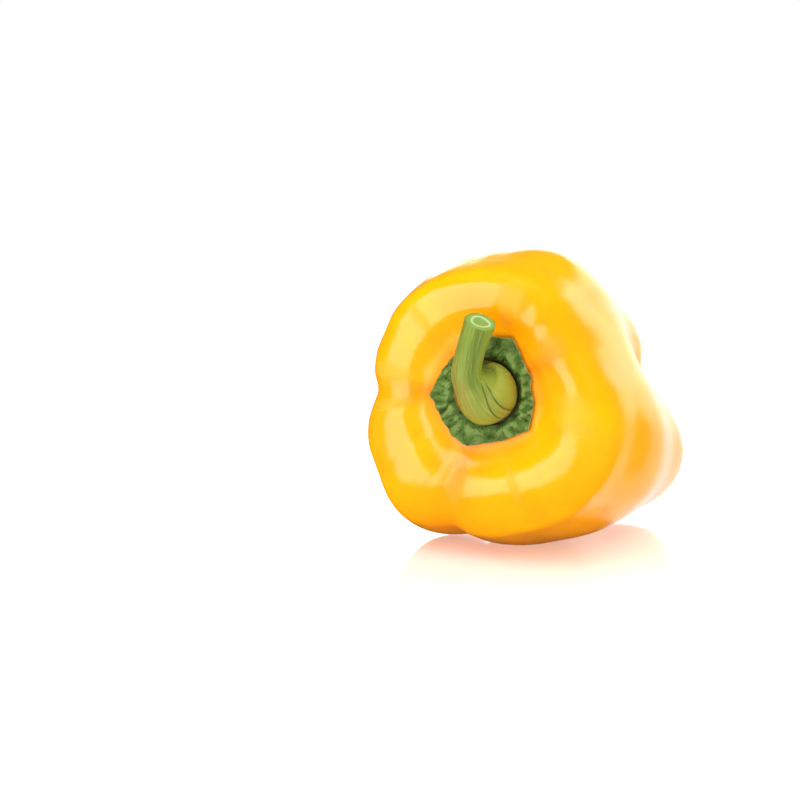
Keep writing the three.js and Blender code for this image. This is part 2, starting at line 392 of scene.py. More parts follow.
def skin(along, angle):
    """A point of the skin: FURROW's outline plus fullness times the way to RIDGE's, its distance from the
    axis times the side's reach, its blossom end drawn out by the side's tail, its shoulder lowered by the
    side's slope, and the whole bent."""
    share = fullness(along, angle)[..., None]
    past_tail = np.clip((along - TAIL_START) / (1 - TAIL_START), 0, 1)
    tail = around(SIDES, TAIL, angle) * np.sin(np.pi * past_tail) ** 2
    ridge = spline(RIDGE, along) - np.stack([np.zeros_like(tail), tail], -1)
    profile = blend(spline(FURROW, along), ridge, share)
    out = profile[..., 0] * around(SIDES, REACH, angle)
    height = profile[..., 1] - around(SIDES, SLOPE, angle) * heap(along - SLOPE_MIDDLE, SLOPE_SPAN)
    bend = np.clip(-height / TAIL_BEND_LENGTH, 0, TAIL_BEND_LIMIT) ** 2
    across, up = out * np.cos(np.radians(angle)), out * np.sin(np.radians(angle))
    height = height - math.tan(math.radians(SEAT_TILT)) * across * heap(out, SEAT_RADIUS)
    return np.stack([across + TAIL_BEND[0] * bend, up + TAIL_BEND[1] * bend, height], -1)


def skin_height(distance, angle):
    """The skin's height beside the calyx at a distance from the axis, found by halving."""
    low = np.zeros(np.broadcast(distance, angle).shape)
    high = np.full(low.shape, SEAT_END)
    for _ in range(HALVINGS):
        middle = (low + high) / 2
        point = skin(middle, angle)
        near = np.hypot(point[..., 0], point[..., 1]) < distance
        low, high = np.where(near, middle, low), np.where(near, high, middle)
    return skin(low, angle)[..., 2]


def lie(points):
    """Turns plant points, in millimetres, so that the stem end points toward -Y."""
    cosine, sine = math.cos(math.radians(STEM_END_RAISED)), math.sin(math.radians(STEM_END_RAISED))
    across, up, out = points[..., 0], points[..., 1], points[..., 2]
    return np.stack([across, up * sine - out * cosine, up * cosine + out * sine], -1)


def find_seat():
    """Where the calyx seat is in the part's frame, in metres: the fruit's formula on the solid's own
    grid has the solid's box, less the flat spot."""
    along, angle = np.meshgrid(
        np.linspace(0, 1, SOLID_ROWS + 1), np.linspace(0, 360, SOLID_ROUND, endpoint=False), indexing="ij"
    )
    grid = lie(skin(along, angle)).reshape(-1, 3)
    low, high = (np.array(corner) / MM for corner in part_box("fruit"))
    middle = (low + high - grid.min(0) - grid.max(0)) / 2
    return np.array([middle[0], middle[1], -grid[:, 2].min() - FLAT_SPOT_DEPTH]) * MM


SEAT = find_seat()


def lay_down(points):
    """Plant points in millimetres to the part's frame in metres. The floor presses the underside flat."""
    placed = lie(points) * MM + SEAT
    placed[..., 2] = np.maximum(placed[..., 2], 0)
    return placed


def lumps(along, angle, height):
    """Low swellings of the flesh, in millimetres: whole numbers of cosines round the fruit times cosines
    along it, fading to nothing beside the calyx and at the blossom end."""
    draw = np.random.default_rng(LUMP_SEED)
    total = np.zeros(along.shape)
    for around_count, size in LUMPS:
        phase, drift = draw.uniform(0, 2 * math.pi), draw.uniform(-LUMP_DRIFT, LUMP_DRIFT)
        swell = np.cos(draw.uniform(*LUMP_LENGTHWISE) * along + draw.uniform(0, 2 * math.pi))
        total = total + size * np.cos(around_count * np.radians(angle) + drift * along + phase) * swell
    return height * total * ramp(along, *SWELLING_START) * ramp(along, *LUMPS_END)


def shoulder_steps(along, angle):
    """Small rises and falls from one swelling of the shoulder to the next, in millimetres: a smooth step
    at each place, their sum drawn even round the fruit, fading out beside the calyx and on the side."""
    place = np.mod(angle, 360)
    total = -sum(rise for _, _, rise in SHOULDER_STEPS) * place / 360
    for at, width, rise in SHOULDER_STEPS:
        total = total + rise * ramp(place, at - width / 2, at + width / 2)
    return total * ramp(along, *SWELLING_START) * ramp(along, *STEPS_END)


def dullness(along, angle):
    """From 0 where the wax shines to 1 in the middle of a dull place: the largest of the places' rounded
    heaps."""
    total = np.zeros(along.shape)
    for at, width, middle, length in DULL_PLACES:
        total = np.maximum(total, heap(turn(at, angle), width) * heap(along - middle, length))
    return total


def skin_marks(along, angle, from_axis):
    """Where the skin changes, from 0 to 1. Its deeper colour is partly the flesh's own and partly painted
    shade. It adds up a heap round the calyx, the furrows, the furrows once more on the shoulder, and a seam
    down the middle of each. It is shaded under the calyx, and dull in the dull places and in a wide, steep
    heap round the calyx."""
    stem_half = along < STEM_HALF_END
    hollow = ramp(fullness(along, angle), *HOLLOW_FULLNESS)
    seam = sum(heap(turn(furrow[0], angle), SEAM_WIDTH) for furrow in LOBE_FURROWS)
    places = (
        heap(from_axis, BLUSH_AND_SHADE_RADIUS, 4) * stem_half,
        hollow * ramp(along, *SHOULDER_END),
        hollow,
        seam * ramp(along, *SEAM_END),
    )
    blush_and_shade = sum(share * place for share, place in zip(BLUSH_AND_SHADE_SHARES, places))
    beside_calyx = heap(from_axis, BESIDE_CALYX_RADIUS, 8) * stem_half
    return {
        "blush_and_shade": np.clip(blush_and_shade, 0, 1),
        "shaded": ramp(from_axis, *SHADED_RADII) * stem_half,
        "dull": np.maximum(dullness(along, angle), BESIDE_CALYX_DULLNESS * beside_calyx),
    }


def normals(grid):
    """Outward unit normals of a grid whose second direction wraps: the cross product of its differences."""
    cross = np.cross(np.gradient(grid, axis=0), np.roll(grid, -1, 1) - np.roll(grid, 1, 1))
    return cross / np.maximum(np.linalg.norm(cross, axis=-1, keepdims=True), 1e-12)


def make_object(name, vertices, faces, marks, material):
    """A smooth mesh object at the origin with one float attribute for each mark."""
    mesh = bpy.data.meshes.new(name)
    mesh.from_pydata(vertices.tolist(), [], faces)
    for label, values in marks.items():
        attribute = mesh.attributes.new(label, "FLOAT", "POINT")
        attribute.data.foreach_set("value", values.ravel().astype(np.float32))
    mesh.materials.append(material)
    mesh.polygons.foreach_set("use_smooth", np.ones(len(mesh.polygons), bool))
    if mesh.validate():
        raise RuntimeError(f"the mesh of {name} had faces that don't hold")
    made = bpy.data.objects.new(name, mesh)
    bpy.context.scene.collection.objects.link(made)
    return made


def quads(rows, columns, rows_wrap):
    """Corner numbers of the quads of a grid whose columns wrap, wound so that rows cross columns."""
    row, column = np.meshgrid(np.arange(rows if rows_wrap else rows - 1), np.arange(columns), indexing="ij")
    here, below = row * columns, (row + 1) % rows * columns
    beside = (column + 1) % columns
    corners = [here + column, below + column, below + beside, here + beside]
    return np.stack([c.ravel() for c in corners], -1)


def capped(name, grid, first, last, marks, material):
    """A closed surface from a grid of rings with a point at each end. marks hold a value for each grid
    point, and its first and last rows give the end points'."""
    rows, columns = grid.shape[:2]
    vertices = np.vstack([grid.reshape(-1, 3), first, last])
    ring = np.arange(columns)
    beside = (ring + 1) % columns
    base = (rows - 1) * columns
    start, end = rows * columns, rows * columns + 1
    faces = quads(rows, columns, False).tolist()
    faces += np.stack([np.full(columns, start), ring, beside], -1).tolist()
    faces += np.stack([np.full(columns, end), base + beside, base + ring], -1).tolist()
    flat = {k: np.concatenate([v.ravel(), [v[0].mean(), v[-1].mean()]]) for k, v in marks.items()}
    return make_object(name, vertices, faces, flat, material)


def add(tree, kind, inputs=(), **settings):
    """Adds one shader node with its settings. Its inputs go by name, or in their order. Each gets a
    value, a linear colour, or the output socket that feeds it."""
    made = tree.nodes.new("ShaderNode" + kind)
    for name, value in settings.items():
        setattr(made, name, value)
    for name, value in inputs.items() if isinstance(inputs, dict) else enumerate(inputs):
        socket = made.inputs[name]
        if isinstance(value, bpy.types.NodeSocket):
            tree.links.new(value, socket)
        else:
            socket.default_value = (*value, 1.0) if socket.type == "RGBA" else value
    return made


def start_material(name, **shader_inputs):
    """A material with one Principled shader set from the given inputs. Underscores stand for spaces."""
    material = bpy.data.materials.new(name)
    material.use_nodes = True
    shader = material.node_tree.nodes["Principled BSDF"]
    for key, value in shader_inputs.items():
        shader.inputs[key.replace("_", " ")].default_value = value
    return material, material.node_tree, shader


def layered(tree, base, layers):
    """Lays linear colours over a base one after another. Each layer has its share, as a socket or as the
    name of the piece's own attribute, and its colour."""
    below = base
    for share, colour in layers:
        if isinstance(share, str):
            share = add(tree, "Attribute", attribute_name=share).outputs["Fac"]
        sockets = {MIX_SHARE: share, MIX_LOW: below, MIX_HIGH: colour}
        below = add(tree, "Mix", sockets, data_type="RGBA").outputs[MIX_RESULT]
    return below


def clouds(tree, place, size, low, high, least=0.0, most=1.0, detail=2.0, roughness=0.5):
    """The socket of soft clouds about size metres across: a noise, spread smoothly so that what is below
    low becomes least and what is above high becomes most."""
    inputs = {"Vector": place, "Scale": 1 / size, "Detail": detail, "Roughness": roughness}
    noise = add(tree, "TexNoise", inputs).outputs["Fac"]
    spread = (noise, low, high, least, most)
    return add(tree, "MapRange", spread, interpolation_type="SMOOTHSTEP").outputs["Result"]


def grain(tree, place, size, depth, strength, detail=2.0, roughness=0.5, over=None):
    """The socket of normals for a grain about size metres across and depth metres deep: a bump of a
    noise, laid over other normals where they are given."""
    inputs = {"Vector": place, "Scale": 1 / size, "Detail": detail, "Roughness": roughness}
    noise = add(tree, "TexNoise", inputs).outputs["Fac"]
    relief = {"Height": noise, "Distance": depth, "Strength": strength}
    return add(tree, "Bump", {**relief, "Normal": over} if over else relief).outputs["Normal"]


def waxed_pepper_skin(colours):
    """The skin of a ripe pepper: flesh under a thin natural wax. The flesh lets light in a few
    millimetres and glows orange, and the wax gives clean, slightly soft reflections, except where it is
    thin and dull. The pits between the skin's cells, about 0.1 mm, are drawn 0.45 mm across, which is the
    finest grain that shows inside the highlights."""
    material, tree, shader = start_material(
        "waxed_pepper_skin",
        IOR=1.5,
        Specular_Tint=(1.0, 0.78, 0.75, 1.0),
        Subsurface_Weight=0.3,
        Subsurface_Radius=(1.0, 0.42, 0.05),
        Subsurface_Scale=3.0 * MM,
    )
    place = add(tree, "TexCoord").outputs["Object"]
    layers = [
        (clouds(tree, place, size=16 * MM, low=0.35, high=0.65, detail=3.0), colours.skin_light),
        # Deeper orange round the calyx and in the furrows: partly the flesh's own colour, partly painted
        # shade in these hollows.
        ("blush_and_shade", colours.skin_deep_and_shade),
        (clouds(tree, place, size=0.9 * MM, low=0.62, high=0.75, most=0.12), colours.skin_deep_and_shade),
        ("shaded", colours.skin_shaded),
    ]
    tree.links.new(layered(tree, colours.skin, layers), shader.inputs["Base Color"])
    dull = add(tree, "Attribute", attribute_name="dull").outputs["Fac"]
    wax = add(tree, "MapRange", (dull, *DULL_SPREAD, *WAX_ROUGHNESS), interpolation_type="SMOOTHSTEP")
    tree.links.new(wax.outputs["Result"], shader.inputs["Roughness"])
    pits = grain(tree, place, size=0.45 * MM, depth=0.03 * MM, strength=0.35, roughness=0.6)
    waves = grain(tree, place, size=5.0 * MM, depth=0.12 * MM, strength=0.5, over=pits)
    tree.links.new(waves, shader.inputs["Normal"])
    return material


def crumpled_calyx_leaf(colours):
    """Thick green leaf tissue that has shrunk a little since picking: half matt, with painted shade in the
    creases and round the hole and painted light on the tops of the folds, with dry straw-coloured edges. Its
    veins are about 0.5 mm apart."""
    material, tree, shader = start_material(
        "crumpled_calyx_leaf", Roughness=0.55, IOR=1.4, Subsurface_Weight=0.05, Subsurface_Scale=0.8 * MM
    )
    place = add(tree, "TexCoord").outputs["Object"]
    blotches = clouds(tree, place, size=2.2 * MM, low=0.35, high=0.65, detail=4.0, roughness=0.6)
    patches = clouds(tree, place, size=3.0 * MM, low=0.4, high=0.6, least=0.25, most=0.9)
    edge = add(tree, "Attribute", attribute_name="edge").outputs["Fac"]
    dry = add(tree, "Math", (edge, patches), operation="MULTIPLY").outputs["Value"]
    layers = [
        (blotches, colours.calyx),
        # Painted light on the fold tops, and painted shade in the creases and round the hole.
        ("fold", colours.calyx_lit_fold),
        ("crease", colours.calyx_crease_shade),
        (dry, colours.calyx_dry),
    ]
    tree.links.new(layered(tree, colours.calyx_dark, layers), shader.inputs["Base Color"])
    veins = grain(tree, place, size=0.5 * MM, depth=0.22 * MM, strength=0.9, detail=3.0, roughness=0.65)
    tree.links.new(veins, shader.inputs["Normal"])
    return material


def fresh_pepper_stem(colours):
    """A fresh stem: smooth green rind with lengthwise fibres, yellower toward the foot and browned at the
    foot's rim, and a moist cut with a pale ring of fibres round the pith. The rind's grain is about
    0.35 mm."""
    material, tree, shader = start_material(
        "fresh_pepper_stem", Roughness=0.42, IOR=1.45, Subsurface_Weight=0.15, Subsurface_Scale=1.5 * MM
    )
    place = add(tree, "TexCoord").outputs["Object"]
    layers = [
        ("foot", colours.stem_foot),
        ("fibre", colours.stem_light),
        ("streak", colours.stem_dark),
        ("brown", colours.stem_brown),
        ("cut", colours.stem_cut),
        ("ring", colours.stem_ring),
        # Painted shade in the foot's creases.
        ("crease", colours.stem_crease_shade),
    ]
    tree.links.new(layered(tree, colours.stem, layers), shader.inputs["Base Color"])
    rind = grain(tree, place, size=0.35 * MM, depth=0.05 * MM, strength=0.4)
    tree.links.new(rind, shader.inputs["Normal"])
    return material


def white_acrylic_floor(studio):
    """A polished white acrylic sheet, lit a little from below. It mirrors what stands on it, most clearly
    close by, and the mirror image fades into the white with distance. Far off, the sheet fades out."""
    material = bpy.data.materials.new("white_acrylic_floor")
    material.use_nodes = True
    tree = material.node_tree
    tree.nodes.clear()
    place = add(tree, "TexCoord").outputs["Object"]
    distance = add(tree, "VectorMath", (place,), operation="LENGTH").outputs["Value"]
    mirror = (distance, studio.mirror_near, studio.mirror_far, studio.mirror_share, 0.0)
    share = add(tree, "MapRange", mirror, interpolation_type="SMOOTHSTEP").outputs["Result"]
    paint = add(tree, "BsdfDiffuse", {"Color": linear("#F4F4F4")})
    glow = add(tree, "Emission", {"Strength": studio.floor_glow})
    white = add(tree, "AddShader", (paint.outputs["BSDF"], glow.outputs["Emission"]))
    gloss = add(tree, "BsdfGlossy", {"Color": WHITE, "Roughness": FLOOR_ROUGHNESS})
    sheet = add(tree, "MixShader", (share, white.outputs["Shader"], gloss.outputs["BSDF"]))
    clear = add(tree, "BsdfTransparent")
    fade = add(tree, "MapRange", (distance, *FLOOR_FADE), interpolation_type="SMOOTHSTEP")
    ends = (fade.outputs["Result"], sheet.outputs["Shader"], clear.outputs["BSDF"])
    faded = add(tree, "MixShader", ends)
    add(tree, "OutputMaterial", {"Surface": faded.outputs["Shader"]})
    return material


class PepperSizes(bpy.types.PropertyGroup):
    """Sizes that change the pepper's fine shape and not its dimensions."""

    rounds: IntProperty(name="Rounds", description="Divisions round the fruit", default=440, min=60)
    rows: IntProperty(name="Rows", description="Divisions along the fruit", default=210, min=40)
    lump_height: FloatProperty(
        name="Lump height", description="Height of the low swellings, in millimetres", default=0.13, min=0
    )
    fold_height: FloatProperty(
        name="Fold height", description="Height of the calyx's folds, in millimetres", default=1.7, min=0
    )
    fibre_height: FloatProperty(
        name="Fibre height", description="Height of the stem's fibres, in millimetres", default=0.05, min=0
    )


def colour(name, description, text):
    """A colour property whose default is an sRGB hex value."""
    return FloatVectorProperty(
        name=name, description=description, subtype="COLOR", size=3, min=0, max=1, default=linear(text)
    )


class PepperColours(bpy.types.PropertyGroup):
    """Colours of the skin, the calyx and the stem."""

    skin: colour("Skin", "Ripe skin", "#F89E00")
    skin_light: colour("Light skin", "Paler clouds in the skin", "#FAA600")
    # Deeper orange of the flesh. It is also used as painted shade beside the calyx and in the furrows.
    skin_deep_and_shade: colour("Deep skin", "Skin beside the calyx and in the furrows", "#F07A00")
    skin_shaded: colour("Shaded skin", "Greenish skin that the calyx shades", "#4A4210")
    calyx: colour("Calyx", "Leaf tissue", "#526E22")
    calyx_dark: colour("Dark calyx", "Darker leaf tissue", "#44601E")
    # Painted light on the tops of the folds.
    calyx_lit_fold: colour("Light calyx", "Tops of the folds", "#86A054")
    # Painted shade in the bottoms of the creases and round the hole.
    calyx_crease_shade: colour("Calyx creases", "Bottoms of the creases", "#1B2208")
    calyx_dry: colour("Dry calyx", "Dry edges", "#A8925A")
    stem: colour("Stem", "Rind", "#748629")
    stem_light: colour("Light stem", "Pale fibres", "#98A24C")
    stem_dark: colour("Dark stem", "Darker rind", "#4A6224")
    stem_foot: colour("Stem foot", "Yellow-green foot", "#868C2C")
    stem_brown: colour("Stem brown", "Browned places", "#A27A34")
    stem_cut: colour("Cut", "Cut face", "#6C8E42")
    stem_ring: colour("Ring", "Ring of fibres in the cut", "#A9BA88")
    # Painted shade in the foot's creases.
    stem_crease_shade: colour("Stem creases", "Dark creases on the foot", "#2E3310")


class StudioSettings(bpy.types.PropertyGroup):
    """Light and floor."""

    mirror_share: FloatProperty(
        name="Mirror share",
        description="How much the floor mirrors beside the pepper",
        default=0.53,
        min=0,
        max=1,
    )
    mirror_near: FloatProperty(
        name="Mirror near", description="Where the mirroring starts to fade", default=0.04, unit="LENGTH"
    )
    mirror_far: FloatProperty(
        name="Mirror far", description="Where the mirroring ends", default=0.25, unit="LENGTH"
    )
    floor_glow: FloatProperty(
        name="Floor glow", description="Light that comes up through the floor", default=0.56, min=0
    )
    backdrop: FloatProperty(name="Backdrop", description="Brightness of the bright wall", default=1.7, min=0)


class PEPPER_OT_fruit(bpy.types.Operator):
    """Grows the lobed fruit and its waxed skin"""

    bl_idname = "pepper.fruit"
    bl_label = "Fruit"

    def execute(self, context):
        sizes, colours = context.scene.pepper_sizes, context.scene.pepper_colours
        along, angle = np.meshgrid(
            np.linspace(0, 1, sizes.rows + 1)[1:-1],
            np.linspace(0, 360, sizes.rounds, endpoint=False),
            indexing="ij",
        )
        grid = skin(along, angle)
        swelling = lumps(along, angle, sizes.lump_height) + shoulder_steps(along, angle)
        grid = grid + normals(grid) * swelling[..., None]
        marks = skin_marks(along, angle, np.hypot(grid[..., 0], grid[..., 1]))
        first, last = lay_down(skin(np.array([0.0, 1.0]), np.zeros(2)))
        fruit = capped("fruit_skin", lay_down(grid), first, last, marks, waxed_pepper_skin(colours))
        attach(fruit, "root")
        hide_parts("fruit")
        return {"FINISHED"}


def calyx_edge(angle):
    """The calyx's edge: the straight line between two corners, as a distance from the axis."""
    at = np.array([c[0] for c in CALYX_OUTLINE] + [CALYX_OUTLINE[0][0] + 360], float)
    out = np.array([c[1] for c in CALYX_OUTLINE] + [CALYX_OUTLINE[0][1]], float)
    place = np.mod(angle - at[0], 360) + at[0]
    i = np.clip(np.searchsorted(at, place, side="right") - 1, 0, len(CALYX_OUTLINE) - 1)
    before, after = out[i], out[i + 1]
    crossing = before * np.sin(np.radians(place - at[i])) + after * np.sin(np.radians(at[i + 1] - place))
    return before * after * np.sin(np.radians(at[i + 1] - at[i])) / crossing


def calyx_hole(angle):
    """The calyx's inner edge, as a distance from the axis: the solid's round hole, a little narrower and
    scalloped."""
    across, up = CALYX_HOLE_MIDDLE
    hole = CALYX_HOLE_RADIUS + across * np.cos(np.radians(angle)) + up * np.sin(np.radians(angle))
    scallop = np.abs(np.sin(np.radians(SCALLOPS / 2 * angle + SCALLOP_START)))
    return hole - HOLE_NARROWER + HOLE_SCALLOP_DEPTH * scallop


def ragged_edge(angle):
    """The leaf's own edge: calyx_edge a little further in, plus sines round it that other sines swell and
    fade."""
    edge = calyx_edge(angle) - EDGE_INSET
    for count, start, beats, height in EDGE_WAVES:
        beat = np.sin(np.radians(beats * angle))
        edge = edge + height * np.sin(np.radians(count * angle + start)) * beat
    return edge


def leaf_section():
    """The calyx's section from the outer edge over the top, round the inner edge and back underneath: how
    far outward each point is, and how far up through the thickness. Each edge is half an ellipse."""
    half = np.linspace(0, math.pi, LEAF_EDGE_ROWS + 2)[1:-1]
    outward = [
        np.linspace(LEAF_OUTER, LEAF_INNER, LEAF_TOP_ROWS),
        LEAF_INNER - LEAF_INNER * np.sin(half),
        np.linspace(LEAF_INNER, LEAF_OUTER, LEAF_UNDER_ROWS),
        LEAF_OUTER + (1 - LEAF_OUTER) * np.sin(half),
    ]
    down, up = (1 + np.cos(half)) / 2, (1 - np.cos(half)) / 2
    upward = [np.ones(LEAF_TOP_ROWS), down, np.zeros(LEAF_UNDER_ROWS), up]
    return np.concatenate(outward), np.concatenate(upward)


def crumple(across, up, lengths, seed):
    """Folds of shrunken leaf, from 0 in a sharp crease to 1 on a round fold: the mean of the absolute
    values of sines, one for each wavelength, along seeded directions in a gently warped plane."""
    draw = np.random.default_rng(seed)
    warped_across = across + sum(size * np.sin(waves * up + start) for waves, start, size in WARP_ACROSS)
    warped_up = up + sum(size * np.sin(waves * across + start) for waves, start, size in WARP_UP)
    total = 0
    for length in lengths:
        direction = draw.uniform(0, math.pi)
        run = math.cos(direction) * warped_across + math.sin(direction) * warped_up
        total = total + np.abs(np.sin(math.pi * run / length + draw.uniform(0, math.pi)))
    return total / len(lengths)


def pleats(round_leaf, outward, waves, slant, start, roundness, height):
    """Folds that run outward: the absolute value of a sine round the leaf, slanted with the way outward,
    to a power that sharpens its creases."""
    return height * np.abs(np.sin(waves * round_leaf + slant * outward + start)) ** roundness


def leaf_relief(outward, angle, across, up):
    """The leaf's relief, from 0 in the creases to 1 on the folds: a lip round the hole with uneven
    scallops, slanted folds that grow toward the edge, and crumpling of three sizes."""
    drift = sum(size * np.sin(np.radians(waves * angle + start)) for waves, start, size in FOLD_DRIFT)
    uneven = np.radians(angle + drift)
    lip = heap(outward - LIP_MIDDLE, LIP_SPAN) * pleats(uneven, outward, *LIP_FOLDS)
    folds = sum(pleats(uneven, outward, *fold) for fold in LEAF_FOLDS)
    crumpled = sum(height * crumple(across, up, lengths, seed) for lengths, seed, height in CRUMPLES)
    relief = lip + folds * ramp(outward, *LEAF_FOLDS_START) + crumpled
    low, high = np.percentile(relief, RELIEF_PERCENTILES)
    return np.clip((relief - low) / (high - low), 0, 1)


class PEPPER_OT_calyx(bpy.types.Operator):
    """Grows the crumpled collar of the calyx"""

    bl_idname = "pepper.calyx"
    bl_label = "Calyx"

    def execute(self, context):
        sizes, colours = context.scene.pepper_sizes, context.scene.pepper_colours
        outward, upward = leaf_section()
        outward, angle = np.meshgrid(outward, np.linspace(0, 360, LEAF_ROUND, endpoint=False), indexing="ij")
        upward = np.broadcast_to(upward[:, None], outward.shape)
        distance = blend(calyx_hole(angle), ragged_edge(angle), outward)
        across, up = distance * np.cos(np.radians(angle)), distance * np.sin(np.radians(angle))
        relief = leaf_relief(outward, angle, across, up)
        evenly = blend(LEAF_INNER_THICKNESS, CALYX_OUTER_THICKNESS, outward)
        folded = (relief - 0.5) * ramp(outward, *RELIEF_START) * ramp(outward, *RELIEF_END)
        thickness = np.maximum(evenly + sizes.fold_height * folded, LEAF_THINNEST)
        height = skin_height(distance, angle) + GAP + upward * thickness
        placed = lay_down(np.stack([across, up, height], -1))
        # Painted shade in the bottoms of the creases and round the hole, and painted light on the tops of the
        # folds.
        painted_crease_shade = np.maximum(CREASE_SHADE_DARKNESS * ramp(relief, *CREASE_BOTTOMS), ramp(outward, *HOLE_SHADE))
        marks = {
            "fold": FOLD_PAINTED_LIGHT * ramp(relief, *FOLD_TOPS) * upward,
            "crease": painted_crease_shade * upward,
            "edge": ramp(outward, *DRY_EDGE),
        }
        faces = quads(*placed.shape[:2], True).tolist()
        leaf = crumpled_calyx_leaf(colours)
        calyx = make_object("calyx_collar", placed.reshape(-1, 3), faces, marks, leaf)
        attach(calyx, "root")
        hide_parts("calyx")
        return {"FINISHED"}


def stem_line(count):
    """Points of the stem's middle line at even steps of length, with the direction along it and the two
    across it: a centripetal Catmull-Rom curve, each stretch a cubic whose end slopes depend on the root
    of the distances between its four points."""
    points = np.asarray(STEM_LINE, float)
    points = np.vstack([2 * points[0] - points[1], points, 2 * points[-1] - points[-2]])
    t = np.linspace(0, 1, STEM_LINE_STEPS, endpoint=False)[:, None]
    runs = []
    for i in range(len(points) - 3):
        a, b, c, d = points[i : i + 4]
        ab, bc, cd = (math.sqrt(np.linalg.norm(q - p)) for p, q in ((a, b), (b, c), (c, d)))
        slope = ((b - a) / ab - (c - a) / (ab + bc) + (c - b) / bc) * bc
        next_slope = ((c - b) / bc - (d - b) / (bc + cd) + (d - c) / cd) * bc
        square = 3 * c - 3 * b - 2 * slope - next_slope
        cubic = 2 * b - 2 * c + slope + next_slope
        runs.append(b + slope * t + square * t**2 + cubic * t**3)
    line = np.vstack([*runs, points[-2:-1]])
    length = np.concatenate([[0], np.cumsum(np.linalg.norm(np.diff(line, axis=0), axis=1))])
    even = np.linspace(0, length[-1], count)
    line = np.stack([np.interp(even, length, line[:, k]) for k in range(3)], -1)
    along = np.gradient(line, axis=0)
    along /= np.linalg.norm(along, axis=1, keepdims=True)
    across = np.array([1.0, 0, 0]) - along * along[:, :1]
    across /= np.linalg.norm(across, axis=1, keepdims=True)
    return line, along, across, np.cross(along, across)


def stem_rows():
    """The stem's rows from the middle of its foot out to the rim, up the rind and in over the cut: how
    far along the stem each is, its share of the radius, and 1 for a row of the cut."""
    rind = np.linspace(0, 1, RIND_ROWS) ** RIND_ROW_SPACING
    share = np.concatenate([np.zeros(FOOT_ROWS), rind, np.ones(CUT_ROWS)])
    foot, cut = np.linspace(*FOOT_REACH, FOOT_ROWS), np.linspace(*CUT_REACH, CUT_ROWS)
    inner = np.concatenate([foot, np.ones(RIND_ROWS), cut])
    return share, inner, np.concatenate([np.zeros(FOOT_ROWS + RIND_ROWS), np.ones(CUT_ROWS)])


def stem_radius(share):
    """The stem's radius at a share of its length: an even curve through STEM_RADII."""
    places, radii = np.array(STEM_RADII, float).T
    step = np.interp(share, places, np.linspace(0, 1, len(radii)))
    return spline(radii[:, None], step)[..., 0]


def strands(twist, share, count, start, wander, waves, height):
    """Strands along the stem: a cosine round it, whose start wanders as a sine along it."""
    return height * np.cos(count * twist + start + wander * np.sin(waves * share))


def fibre_relief(angle, share, twist):
    """The rind's fibres: three sets of strands, together stronger and weaker along the stem."""
    strength = 0.6 + 0.4 * np.sin(17 * share + 3 * np.cos(2 * angle))
    return sum(strands(twist, share, *fibre) for fibre in FIBRES) * strength


def streak_pattern(angle, share, twist):
    """The rind's darker streaks: sets of strands, each broken up by a sine along and round the stem."""
    total = 0
    for strand, (waves, round_waves, start) in STREAKS:
        broken = np.sin(waves * share + round_waves * angle + start)
        total = total + strands(twist, share, *strand) * broken
    return total


def foot_creases(angle, share, radius):
    """The creases over the foot, which groove the rind and carry painted shade, from 0 to about 1: a narrow
    heap round each route from the rim to beside the stem, ending where the stem rises."""
    total = np.zeros_like(angle)
    for rim, beside in FOOT_CREASES:
        route = np.radians(blend(rim, beside, ramp(share, *FOOT_CREASE_ROUTE)))
        away = turn_in_radians(route, angle) * radius
        total = total + heap(away, FOOT_CREASE_WIDTH) * ramp(share, *FOOT_CREASE_END)
    return total


def browning(angle, share):
    """How brown the rind is: a broken line on the foot's rim, the left side up to the middle, and a patch
    in front at the left, each a heap round its direction."""
    broken = 0.5 + 0.5 * np.sin(5 * angle + 2) * np.sin(11 * angle)
    total = RIM_BROWN * ramp(share, *RIM_BROWN_END) * broken
    patch = heap(share - FRONT_BROWN_MIDDLE, FRONT_BROWN_SPAN) * (0.7 + 0.3 * np.sin(19 * angle))
    sides = ((LEFT_BROWN, ramp(share, *LEFT_BROWN_END)), (FRONT_BROWN, patch))
    for (direction, width, size), place in sides:
        total = total + size * heap(turn_in_radians(math.radians(direction), angle), width) * place
    return total


